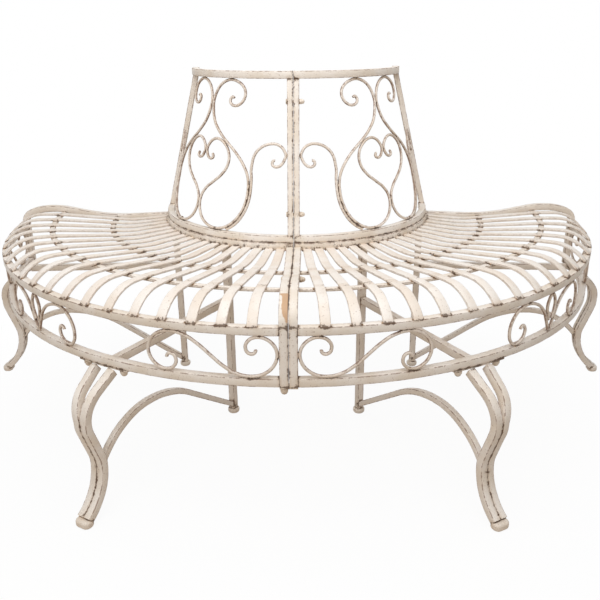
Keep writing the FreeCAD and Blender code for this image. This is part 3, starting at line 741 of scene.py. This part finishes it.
# %% Leg bars
LEG_ANGLES = {"middle": math.radians(28.85), "end": math.radians(86.7)}
POST_TOP = INNER_RIM_TOP - BAR - PLATE_THICKNESS
leg_lines = {
    "front_strands": ([strand, mirror_seam(strand)], BAR),
    "arch_brace": ([brace_line()], BRACE_BAR),
    "rear_post": ([straight((0, -REAR_POST_RADIUS, REAR_FOOT_HEIGHT),
                            (0, -REAR_POST_RADIUS, POST_TOP), (1, 0, 0))], BAR),
    "stretcher": ([straight((0, -REAR_POST_RADIUS - half, STRETCHER_TOP - half),
                            (0, -RIM_RADIUS + BAR, STRETCHER_TOP - half), (1, 0, 0))], BAR),
}
for leg, angle in LEG_ANGLES.items():
    for part, (lines, size) in leg_lines.items():
        turned = [about(line, angle) for line in lines]
        bar_on_both_sides(leg + "_leg_" + part, turned, size, size)
for piece, node, _ in made:
    if node.endswith("front_strands"):
        sawn_level(piece, PLATE_BOTTOM)
print(len(made), "pieces so far")

# %% [markdown]
# ## Scroll wires, plates, feet and fasteners
#
# The scrolls are cold-bent from 6 mm wire. Their shape in the frame is already right, so
# each starts as a copy of its node. The copy's loose triangles are merged, and a bevel
# takes the sharp edge off its cut ends, as a file would. Plates, feet, nuts and bolts
# are made the same way, with a bevel that fits their size.

# %% Copies with softened edges
WIRE_RADIUS = 3 * MM
ON_A_ROUNDED_EDGE = 0.8 * MM
OFF_THE_EDGES = 2.5 * MM
FLAT_ENOUGH = math.radians(1.0)
SHARP_EDGE = math.radians(35)

# The size of the bevel on each kind of copy, and the number of its facets
BEVELS = {"painted_wire": (1.0 * MM, 3), "painted_feet": (0.5 * MM, 2),
          "painted_hardware": (0.4 * MM, 2), "painted_bar": (0.4 * MM, 2)}


def slot_of(node):
    """The slot of the record that a copied piece's paint belongs to."""
    if "scroll" in node or "leaf" in node:
        return "painted_wire"
    if "feet" in node:
        return "painted_feet"
    fastener = any(kind in node for kind in ("stud", "nut", "bolt"))
    return "painted_hardware" if fastener else "painted_bar"


def store_edges(shape, rounded, wire):
    """Store how far each face corner is from an edge, or from the side of a wire."""
    layer = shape.loops.layers.float["edge"]
    for face in shape.faces:
        for loop in face.loops:
            # On a wire, the less a face corner looks straight out from the tree, the nearer it
            # counts to an edge, so the wire's sides take the brown line: partly rubbed glaze, and
            # partly painted shade of a round wire's turned-away sides
            if wire:
                outward = Vector((loop.vert.co.x, loop.vert.co.y, 0)).normalized()
                loop[layer] = abs(loop.vert.normal.dot(outward)) * WIRE_RADIUS
            else:
                loop[layer] = ON_A_ROUNDED_EDGE if face in rounded else OFF_THE_EDGES


def softened(node):
    """A merged copy of a node's mesh, with its sharp edges rounded."""
    slot = slot_of(node)
    offset, segments = BEVELS[slot]
    shape = bmesh.new()
    shape.from_mesh(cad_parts[node].data)
    shape.loops.layers.float.new("edge")
    bmesh.ops.remove_doubles(shape, verts=shape.verts[:], dist=0.01 * MM)
    bmesh.ops.dissolve_limit(shape, angle_limit=FLAT_ENOUGH, verts=shape.verts[:],
                             edges=shape.edges[:])
    sharp = [edge for edge in shape.edges if edge.calc_face_angle(0.0) > SHARP_EDGE]
    bevelled = bmesh.ops.bevel(shape, geom=sharp, offset=offset, segments=segments,
                               profile=0.5, affect="EDGES", clamp_overlap=True)
    shape.normal_update()
    store_edges(shape, set(bevelled["faces"]), slot == "painted_wire")
    mesh = bpy.data.meshes.new("soft_" + node)
    shape.to_mesh(mesh)
    shape.free()
    mesh.polygons.foreach_set("use_smooth", [True] * len(mesh.polygons))
    mesh.materials.append(PAINTS[slot])
    piece = bpy.data.objects.new("soft_" + node, mesh)
    bpy.context.scene.collection.objects.link(piece)
    made.append((piece, node, slot))


swept = {node for _, node, _ in made}
for node in sorted(set(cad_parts) - swept):
    softened(node)
print(len(made), "pieces for", len(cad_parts), "nodes")

# %% [markdown]
# ## The bare patch
#
# Over the front bend of the left seam end bar a patch of enamel has come off, and the
# smooth tan below it shows. It belongs to this one place and can't come from a rule, so
# its size is given, and it is stored on the points of that bar as `bare`.

# %% Patch on the left seam end bar
PATCH_FROM, PATCH_TO = 650 * MM, 699 * MM
PATCH_NARROWS = 8 * MM
PATCH_FADE = 2 * MM


def bareness(vertex):
    """1 inside the patch, which narrows towards the seam as it runs down the bend."""
    share = (-vertex.co.y - PATCH_FROM) / (PATCH_TO - PATCH_FROM)
    if not 0 < share < 1 or vertex.normal.z < 0.1:
        return 0.0
    outer_side = -post_edge + PATCH_NARROWS * share
    return min(max((vertex.co.x - outer_side) / PATCH_FADE + 0.5, 0.0), 1.0)


for piece, node, _ in made:
    if node == "left_seam_end_bar":
        patch = [bareness(vertex) for vertex in piece.data.vertices]
        layer = piece.data.attributes.new("bare", "FLOAT", "POINT")
        layer.data.foreach_set("value", patch)
        print(sum(value > 0 for value in patch), "points in the patch")

# %% [markdown]
# ## Wear and painted shade round the joints
#
# Paint is thin and stained wherever two pieces meet, and the darkening there is partly
# painted shade in the corner between them. So each point of the mesh is asked how far it
# is from the nearest other piece. Loose parts of one mesh, such as neighbouring slats,
# count as pieces of their own here, so each mesh is taken apart first. Every part gets a
# box, and a tree that finds the nearest place on its surface quickly.

# %% The loose parts of every piece
REACH = 9 * MM


def islands(mesh):
    """The number of the loose part that each vertex belongs to."""
    parent = list(range(len(mesh.vertices)))

    def root_of(k):
        while parent[k] != k:
            parent[k] = parent[parent[k]]
            k = parent[k]
        return k

    for edge in mesh.edges:
        one, two = edge.vertices
        parent[root_of(one)] = root_of(two)
    return [root_of(k) for k in range(len(parent))]


def loose_parts(piece):
    """Each loose part's vertices, box and search tree."""
    mesh = piece.data
    part_of = islands(mesh)
    places = [vertex.co for vertex in mesh.vertices]
    members, faces = {}, {}
    for k, part in enumerate(part_of):
        members.setdefault(part, []).append(k)
    for polygon in mesh.polygons:
        faces.setdefault(part_of[polygon.vertices[0]], []).append(tuple(polygon.vertices))
    for part, inside in members.items():
        number = {k: place for place, k in enumerate(inside)}
        own = [places[k] for k in inside]
        surface = BVHTree.FromPolygons(own, [[number[k] for k in face] for face in faces[part]])
        low = Vector([min(place[axis] for place in own) - REACH for axis in range(3)])
        high = Vector([max(place[axis] for place in own) + REACH for axis in range(3)])
        yield inside, own, surface, low, high


parts = []
for number, (piece, _, _) in enumerate(made):
    parts += [(number, *part) for part in loose_parts(piece)]
print(len(parts), "loose parts in", len(made), "pieces")

# %% [markdown]
# ## Measuring the gaps
#
# Only parts whose boxes come near each other are compared, which keeps this quick. The
# answer is stored on the points as `joint`. Where a wire touches something, the place is
# kept, because a weld belongs there.

# %% Measure how near the pieces come to each other
TOUCHING = 0.4 * MM


def within_box(place, low, high):
    """Whether a place lies in the box between two corners."""
    return all(low[axis] <= place[axis] <= high[axis] for axis in range(3))


gaps = [[REACH] * len(piece.data.vertices) for piece, _, _ in made]
for one in parts:
    number, inside, own, _, low, high = one
    for other in parts:
        _, _, _, surface, other_low, other_high = other
        if other is one or any(low[axis] > other_high[axis] - REACH
                               or other_low[axis] > high[axis] - REACH for axis in range(3)):
            continue
        for k, place in zip(inside, own):
            if within_box(place, other_low, other_high):
                found = surface.find_nearest(place, REACH)
                if found[0] is not None:
                    gaps[number][k] = min(gaps[number][k], found[3])

touches = []
for (piece, node, slot), gap in zip(made, gaps):
    layer = piece.data.attributes.new("joint", "FLOAT", "POINT")
    layer.data.foreach_set("value", gap)
    if slot == "painted_wire":
        touches += [vertex.co.copy() for vertex, near in zip(piece.data.vertices, gap)
                    if near < TOUCHING]
print(len(touches), "points of the wires touch something")

# %% [markdown]
# ## Places of the weld beads
#
# Each slat is tacked on both sides where it meets the rim, the rings and the inner rim,
# and each scroll where it touches. The places on the slats follow from the sizes above,
# and those on the scrolls from the touches that were just measured. Many points touch at
# one joint, so the next bead has to be a bead's width or two away.

# %% Places of the beads
BEAD_SPACING = 8 * MM


def slat_angle(k):
    """The angle of a slat of the fan, before the hair of hand-set error."""
    share = k / (SLAT_COUNT - 1)
    even = FIRST_SLAT + SLAT_SPREAD * share
    return even - 4 * SLAT_DRIFT * share * (1 - share)


def slat_underside(radius):
    """The height of a slat's underside at a radius."""
    return min(slat_line(SLAT_THICKNESS), key=lambda sample: abs(sample[0] - radius))[1]


def on_slat(angle, radius, height, aside):
    """A place beside the middle of a slat that stands at an angle."""
    return Matrix.Rotation(angle, 3, "Z") @ Vector((aside, -radius, height))


tacks = []
slat_touches = [(RIM_RADIUS - 2.5 * MM, RIM_TOP)]
slat_touches += [(radius + RING_WIDTH / 3, ring_height(radius) + RING_THICKNESS / 2)
                 for radius in RING_RADII]
slat_touches.append((INNER_RIM_RADIUS + RIM_TUCK, slat_underside(INNER_RIM_RADIUS)))
for sign in SIDES.values():
    for k in range(SLAT_COUNT):
        for aside in (-SLAT_WIDTH / 2, SLAT_WIDTH / 2):
            tacks += [on_slat(sign * slat_angle(k), radius, height, aside)
                      for radius, height in slat_touches]

# One bead for each cluster of touching points on the wires
for place in touches:
    if all((place - other).length > BEAD_SPACING for other in tacks):
        tacks.append(place)
print(len(tacks), "tack welds")

# %% [markdown]
# ## The weld beads
#
# A tack is a drop of weld metal that froze on the joint: small, uneven, and dark, because
# the paint takes badly there. So the tree pushes the surface of a ball about with noise,
# and puts a copy on each place, turned and scaled at random with a fixed seed.

# %% Beads
BEAD_RADIUS = 2.1 * MM
BEAD_LUMPS = 1.2 * MM
LUMP_SIZE = 3
FULL_TURNS = (math.tau, math.tau, math.tau)
SMALLEST_BEAD, LARGEST_BEAD = (0.6, 0.6, 0.6), (1.3, 1.3, 1.3)
WELD_STAIN = cream_enamel_with_wear_and_shade("weld_stain", "#B08E69", "#6B4A36", 0.5, 3.0)


def bead_tree():
    """The tree that puts a weld bead on every point."""
    tree, inputs, output = new_tree("tack welds", {
        "Radius": "Float", "Seed": "Int", "Paint": "Material"})
    ball = add(tree, "GeometryNodeMeshIcoSphere", {"Radius": inputs["Radius"], "Subdivisions": 2})
    lumps = add(tree, "ShaderNodeTexNoise", {"Scale": per_metre(LUMP_SIZE), "Detail": 1.0})
    centred = add(tree, "ShaderNodeVectorMath", {0: lumps.outputs["Color"], 1: MIDDLE_GREY},
                  operation="SUBTRACT")
    push = add(tree, "ShaderNodeVectorMath", {0: centred, "Scale": BEAD_LUMPS},
               operation="SCALE")
    bead = add(tree, "GeometryNodeSetPosition", {"Geometry": ball, "Offset": push})
    smooth = add(tree, "GeometryNodeSetShadeSmooth", {"Geometry": bead})
    points = add(tree, "GeometryNodeMeshToPoints", {"Mesh": inputs["Geometry"]})
    turn = add(tree, "FunctionNodeRandomValue", {1: FULL_TURNS, "Seed": inputs["Seed"]},
               data_type="FLOAT_VECTOR")
    size = add(tree, "FunctionNodeRandomValue", {
        0: SMALLEST_BEAD, 1: LARGEST_BEAD, "Seed": inputs["Seed"]}, data_type="FLOAT_VECTOR")
    turned = add(tree, "FunctionNodeEulerToRotation", {0: turn})
    placed = add(tree, "GeometryNodeInstanceOnPoints", {
        "Points": points, "Instance": smooth, "Rotation": turned, "Scale": size})
    whole = add(tree, "GeometryNodeRealizeInstances", {"Geometry": placed})
    painted = add(tree, "GeometryNodeSetMaterial",
                  {"Geometry": whole, "Material": inputs["Paint"]})
    tree.links.new(painted.outputs[0], output.inputs[0])
    return tree


bead_places = bpy.data.meshes.new("bead places")
bead_places.from_pydata(tacks, [], [])
beads = grown("tack_welds", bead_places, bead_tree(),
              {"Radius": BEAD_RADIUS, "Seed": 4, "Paint": WELD_STAIN})

# A bead lies all over at a joint, and has no edge to rub
for attribute, distance in (("joint", 0.8 * MM), ("edge", 3 * MM)):
    layer = beads.data.attributes.new(attribute, "FLOAT", "POINT")
    layer.data.foreach_set("value", [distance] * len(beads.data.vertices))
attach(beads, "root")
print(beads.name, len(beads.data.polygons), "faces")

# %% [markdown]
# ## Hand the pieces to the frame
#
# Every piece stands for its CAD node and rides on the bench's one body.

# %% Ride on the frame
for piece, node, slot in made:
    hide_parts(node)
    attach(piece, "root")
print(sum(len(piece.data.polygons) for piece, _, _ in made), "faces in all")

# %% [markdown]
# ## Floor
#
# The bench stands on a plain pale floor that runs out to white. The floor's white is its
# own colour plus a little glow that only the camera and mirrors see, so the light on the
# bench stays plain.

# %% Floor
FLOOR_SIZE = 14.0
BENCH_MIDDLE = (0, -0.35, 0)
GLOW_FROM, GLOW_FULL, GLOW_AT_BENCH = 0.5, 1.1, 0.93


def seen_directly(tree):
    """1 where the camera sees a point itself or in a mirror, and 0 for plain lighting."""
    path = add(tree, "ShaderNodeLightPath")
    seen = path.outputs["Is Camera Ray"]
    for other in ("Is Glossy Ray", "Is Transmission Ray"):
        seen = add(tree, "ShaderNodeMath", {0: seen, 1: path.outputs[other]},
                   operation="MAXIMUM")
    return seen


def studio_floor():
    """A pale matt floor that is as white as paper where the camera sees it."""
    material = bpy.data.materials.new("studio_floor")
    material.use_nodes = True
    tree = material.node_tree
    shader = tree.nodes["Principled BSDF"]
    shader.inputs["Roughness"].default_value = 0.9
    shader.inputs["Specular IOR Level"].default_value = 0.0
    seen = seen_directly(tree)
    paint = add(tree, "ShaderNodeMix", {"Factor": seen, "A": linear("#B8A48C"),
                                        "B": linear("#FFFFFF")}, data_type="RGBA")
    tree.links.new(paint.outputs["Result"], shader.inputs["Base Color"])
    place = add(tree, "ShaderNodeTexCoord").outputs["Object"]
    away = add(tree, "ShaderNodeVectorMath", {0: place, 1: BENCH_MIDDLE}, operation="DISTANCE")
    glowing = add(tree, "ShaderNodeMapRange", {
        "Value": away, "From Min": GLOW_FROM, "From Max": GLOW_FULL, "To Min": GLOW_AT_BENCH},
        **SMOOTH)
    share = add(tree, "ShaderNodeMath", {0: seen, 1: glowing}, operation="MULTIPLY")
    glow = add(tree, "ShaderNodeEmission", {"Color": (1, 1, 1, 1), "Strength": 1.0})
    mixed = add(tree, "ShaderNodeMixShader", {0: share, 1: shader, 2: glow})
    tree.links.new(mixed.outputs[0], tree.nodes["Material Output"].inputs["Surface"])
    return material


floor_mesh = bpy.data.meshes.new("floor")
far = FLOOR_SIZE / 2
floor_mesh.from_pydata([(-far, -far, 0), (far, -far, 0), (far, far, 0), (-far, far, 0)],
                       [], [(0, 1, 2, 3)])
floor = bpy.data.objects.new("floor", floor_mesh)
bpy.context.scene.collection.objects.link(floor)
floor_mesh.materials.append(studio_floor())
floor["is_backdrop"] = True
print(floor.name, FLOOR_SIZE, "m wide")

# %% [markdown]
# ## Light
#
# A white sky fills the shadows, a broad lamp over the seat lights the slats, and a second
# one in front reaches the back and the apron. Both are soft and plain, so that the paint
# shows the colour it was given.

# %% Light
LEAST_SKY = 0.44
world = bpy.data.worlds.new("studio")
bpy.context.scene.world = world
world.use_nodes = True
level = add(world.node_tree, "ShaderNodeMapRange", {
    "Value": seen_directly(world.node_tree), "To Min": LEAST_SKY})
sky = world.node_tree.nodes["Background"]
sky.inputs["Color"].default_value = (1, 1, 1, 1)
world.node_tree.links.new(level.outputs["Result"], sky.inputs["Strength"])


def lamp(name, place, target, size, power):
    """A square soft lamp that looks at a point."""
    light = bpy.data.lights.new(name, "AREA")
    light.size = size
    light.energy = power
    holder = bpy.data.objects.new(name, light)
    holder.location = place
    holder.rotation_euler = (Vector(target) - Vector(place)).to_track_quat("-Z", "Y").to_euler()
    bpy.context.scene.collection.objects.link(holder)


SEAT_MIDDLE = (0, -0.35, 0.4)
lamp("top lamp", (0, -0.8, 1.8), SEAT_MIDDLE, 1.3, 13)
lamp("front lamp", (-1.0, -3.0, 1.7), SEAT_MIDDLE, 2.0, 20)
print("lamps:", ", ".join(light.name for light in bpy.data.lights))

# %% [markdown]
# ## Camera
#
# The camera's place, its three angles and its focal length were fitted to the bench's
# circles in the photo. The picture is 600 pixels wide, which turns the focal length in
# pixels into one in millimetres.

# %% Camera
CAMERA_PLACE = Vector((39.736, -1724.944, 837.398)) * MM
CAMERA_YAW, CAMERA_PITCH, CAMERA_ROLL = -0.0196, -0.3627, -0.0080
FOCAL_PIXELS = 691.74
PICTURE_WIDTH = 600


def camera_axes(yaw, pitch, roll):
    """The camera's right and up, and the way it looks, for its three angles."""
    ahead = Vector((math.sin(yaw) * math.cos(pitch), math.cos(yaw) * math.cos(pitch),
                    math.sin(pitch)))
    right = Vector((math.cos(yaw), -math.sin(yaw), 0))
    upward = right.cross(ahead)
    rolled_right = right * math.cos(roll) + upward * math.sin(roll)
    rolled_up = upward * math.cos(roll) - right * math.sin(roll)
    return rolled_right, rolled_up, ahead


camera_data = bpy.data.cameras.new("camera")
camera_data.sensor_fit = "HORIZONTAL"
camera_data.sensor_width = 36.0
camera_data.lens = FOCAL_PIXELS / PICTURE_WIDTH * camera_data.sensor_width
camera_data.clip_end = 100
camera = bpy.data.objects.new("camera", camera_data)
right, upward, ahead = camera_axes(CAMERA_YAW, CAMERA_PITCH, CAMERA_ROLL)
turned = Matrix((right, upward, -ahead)).transposed().to_4x4()
camera.matrix_world = Matrix.Translation(CAMERA_PLACE) @ turned
bpy.context.scene.collection.objects.link(camera)
bpy.context.scene.camera = camera
bpy.context.scene.view_settings.view_transform = "Standard"
print("camera of", round(camera_data.lens, 2), "mm")

# %% [markdown]
# ## Sizes of the frame and of the build
#
# The box of the frame and the box of what was built here are printed side by side.

# %% Sizes
boxes = {"cad": cad_box, "visual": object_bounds()}
{name: [list(corner) for corner in box] for name, box in boxes.items()}
print(boxes)
